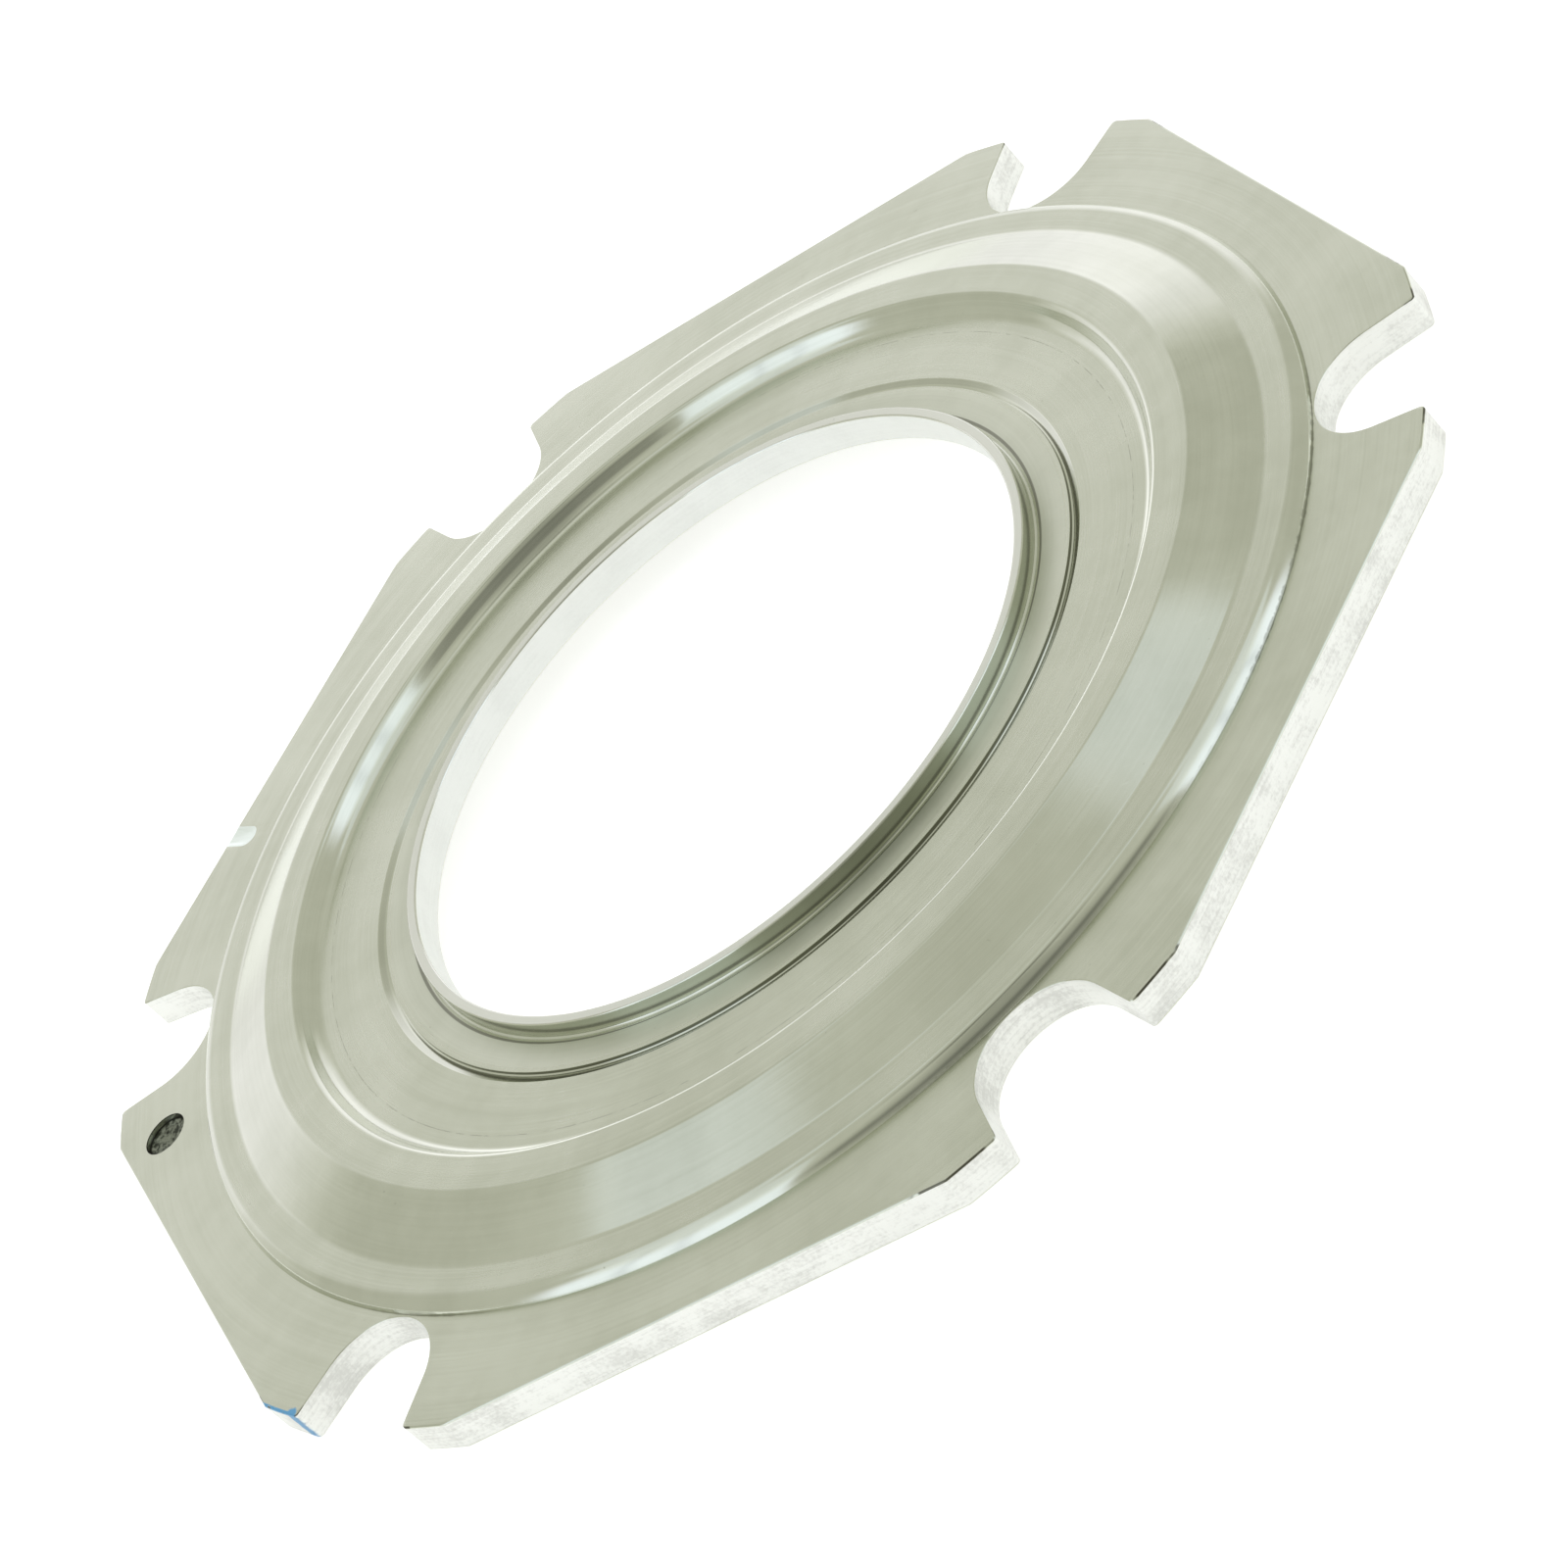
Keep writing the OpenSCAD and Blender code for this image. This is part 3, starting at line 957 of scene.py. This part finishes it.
def tool_marks(g, place, cos_a, sin_a, z, r):
    """Torn line where the shoulder meets the flange, line on the web, specks, and marks on the rim."""
    teeth = round_noise(g, cos_a, sin_a, *TORN_TEETH)
    parts = round_noise(g, cos_a, sin_a, *TORN_PARTS)
    deep = g.ramp(parts, *TORN_DEEP_RISE, TORN_SHALLOW, 1.0)
    depth = g.times(g.ramp(teeth, *TORN_TEETH_RISE), deep)
    off_foot = g.calc("ABSOLUTE", g.less(r, SHOULDER_R))
    torn = g.times(
        g.ramp(g.less(off_foot, g.times(depth, TORN_DEPTH)), *TORN_SOFT, 1.0, 0.0),
        g.band(z, *TORN_Z),
        g.ramp(parts, *TORN_PARTS_RISE),
    )
    gaps = g.ramp(round_noise(g, cos_a, sin_a, *LINE_GAPS), *LINE_GAPS_RISE)
    line = g.times(g.band(r, *LINE_R), g.band(z, *LINE_Z), gaps)
    specks = g.ramp(g.noise(place, *SPECKS), *SPECKS_RISE)
    edge_parts = g.ramp(g.noise(place, *EDGE_PARTS), *EDGE_PARTS_RISE)
    edge = g.times(g.ramp(r, *EDGE_R), g.band(z, *EDGE_Z), edge_parts)
    darkening = g.add(
        g.times(torn, TORN_DIRT),
        g.times(line, LINE_DIRT),
        g.times(specks, SPECKS_DIRT),
        g.times(edge, EDGE_DIRT),
    )
    return g.clamp(darkening, 0.0, 1.0)


def turned_steel():
    """Lathe-turned steel: fine lines round the axis, clouding, dirt and painted shade in corners, and tool
    marks.
    """
    material, g = new_material("turned steel")
    place, x, y, z = place_in_mm(g)
    r = g.length(x, y)
    lift = g.parts(g.node("ShaderNodeTexCoord").outputs["Normal"])[2]
    level = g.ramp(g.calc("ABSOLUTE", lift), *LEVEL_RISE)
    flange = g.times(level, g.ramp(r, *FLANGE_RISE))
    cos_a = g.calc("DIVIDE", x, r)
    sin_a = g.calc("DIVIDE", y, r)
    turning = (g.add(r, g.times(z, SLOPE_STRETCH)), cos_a, sin_a)
    fine = g.stretched(turning, *FINE_LINES)
    broad = g.stretched(turning, *BROAD_LINES)
    clouds = g.noise(place, *CLOUDS)
    smudges = g.noise(place, *SMUDGES)
    brushed = g.vector(g.times(g.add(x, y), WISP_SCALES[0]), g.times(g.less(x, y), WISP_SCALES[1]), 0.0)
    wisps = g.times(g.ramp(g.noise(brushed, *WISPS), *WISPS_RISE), g.ramp(clouds, *WISP_CLOUDS_RISE))

    shade = g.add(
        g.swing(fine, FINE_SHADE),
        g.swing(broad, BROAD_SHADE),
        g.swing(clouds, CLOUDS_SHADE),
        g.swing(smudges, SMUDGES_SHADE),
        g.times(wisps, g.less(1.0, flange), WISPS_SHADE),
        g.times(flange, FLANGE_SHADE),
        MIDDLE_SHADE,
    )
    colour = g.mix(g.ramp(shade, *SHADE_RANGE), STEEL_DARK, STEEL_LIGHT)
    colour = g.mix(PLAIN_SHARE, colour, STEEL)
    colour = g.mix(g.ramp(r, *LIP_TOP_RISE, LIP_TOP_SHARE, 0.0), colour, CUT_LIGHT)
    # Darker towards near-black: real tool marks and dirt, and painted shade in the groove, the relief and on
    # the lip's wall
    darkening = g.calc("MAXIMUM", shadowed_corners(g, z, r), tool_marks(g, place, cos_a, sin_a, z, r))
    colour = g.mix(darkening, colour, GRIME_AND_SHADE)
    painted = paint_mark(g, place, x, y, z, r)
    colour = g.mix(painted, colour, PAINT)

    rough = g.add(
        TURNED_ROUGH,
        g.times(level, LEVEL_ROUGH),
        g.times(flange, FLANGE_ROUGH),
        g.times(painted, PAINT_ROUGH),
        g.swing(clouds, CLOUDS_ROUGH),
        g.swing(smudges, SMUDGES_ROUGH),
        g.swing(fine, FINE_ROUGH),
        g.times(level, g.ramp(r, *INNER_WEB_RISE, INNER_WEB_ROUGH, 0.0)),
    )
    round_axis = g.node("ShaderNodeTangent", direction_type="RADIAL", axis="Z")
    g.surface(
        {
            "Base Color": colour,
            "Metallic": g.less(1.0, painted),
            "Roughness": rough,
            "Anisotropic": TURNED_GLOSS_STRETCH,
            "Anisotropic Rotation": TURNED_GLOSS_TURN,
            "Tangent": round_axis.outputs[0],
            "Normal": g.bump(g.add(fine, g.times(broad, BROAD_BUMP)), *TURNED_BUMP),
        }
    )
    return material


def milled_steel():
    """Bright rough side walls and bore wall, streaked round the plate."""
    material, g = new_material("milled steel")
    place, x, y, z = place_in_mm(g)
    r = g.length(x, y)
    streaks = g.stretched((x, y, z), *STREAKS)
    grain = g.noise(place, *GRAIN)
    patches = g.noise(place, *PATCHES)
    shade = g.add(
        g.times(streaks, STREAKS_SHADE),
        g.times(grain, GRAIN_SHADE),
        g.times(patches, PATCHES_SHADE),
    )
    painted = paint_mark(g, place, x, y, z, r)
    colour = g.mix(g.ramp(shade, *MILLED_RANGE), CUT_DARK, CUT_LIGHT)
    colour = g.mix(g.ramp(r, *BORE_RISE, BORE_SHARE, 0.0), colour, BORE_LIGHT)
    g.surface(
        {
            "Base Color": g.mix(painted, colour, PAINT),
            "Metallic": g.less(1.0, painted),
            "Roughness": g.add(MILLED_ROUGH, g.swing(grain, GRAIN_ROUGH)),
            "Normal": g.bump(shade, *MILLED_BUMP),
        }
    )
    return material


def drilled_steel():
    """Stained floor and wall of the balance drilling, with painted shade darkest round its edge."""
    material, g = new_material("drilled steel")
    place, x, y, _ = place_in_mm(g)
    stains = g.noise(place, *STAINS)
    colour = g.mix(g.ramp(stains, *STAINS_RISE), DRILLED_DARK, DRILLED_LIGHT)
    # Painted shade: the drilling goes nearly black towards its wall
    rim = g.ramp(distance(g, x, y, DRILL_PLACE), *DRILLED_EDGE_SHADE_RISE)
    g.surface(
        {
            "Base Color": g.mix(rim, colour, DRILLED_EDGE_SHADE),
            "Metallic": 1.0,
            "Roughness": g.add(DRILLED_ROUGH, g.times(stains, STAINS_ROUGH)),
            "Normal": g.bump(stains, *DRILLED_BUMP),
        }
    )
    return material


def ground_steel():
    """Bright floor of the ground nick."""
    material, g = new_material("ground steel")
    _, x, y, z = place_in_mm(g)
    lines = g.stretched((x, y, z), *GRINDING)
    g.surface(
        {
            "Base Color": g.mix(lines, GROUND_DARK, GROUND_LIGHT),
            "Metallic": 1.0,
            "Roughness": GROUND_ROUGH,
            "Normal": g.bump(lines, *GROUND_BUMP),
        }
    )
    return material


build_camera()
build_world()
build_floor()
build_plate()
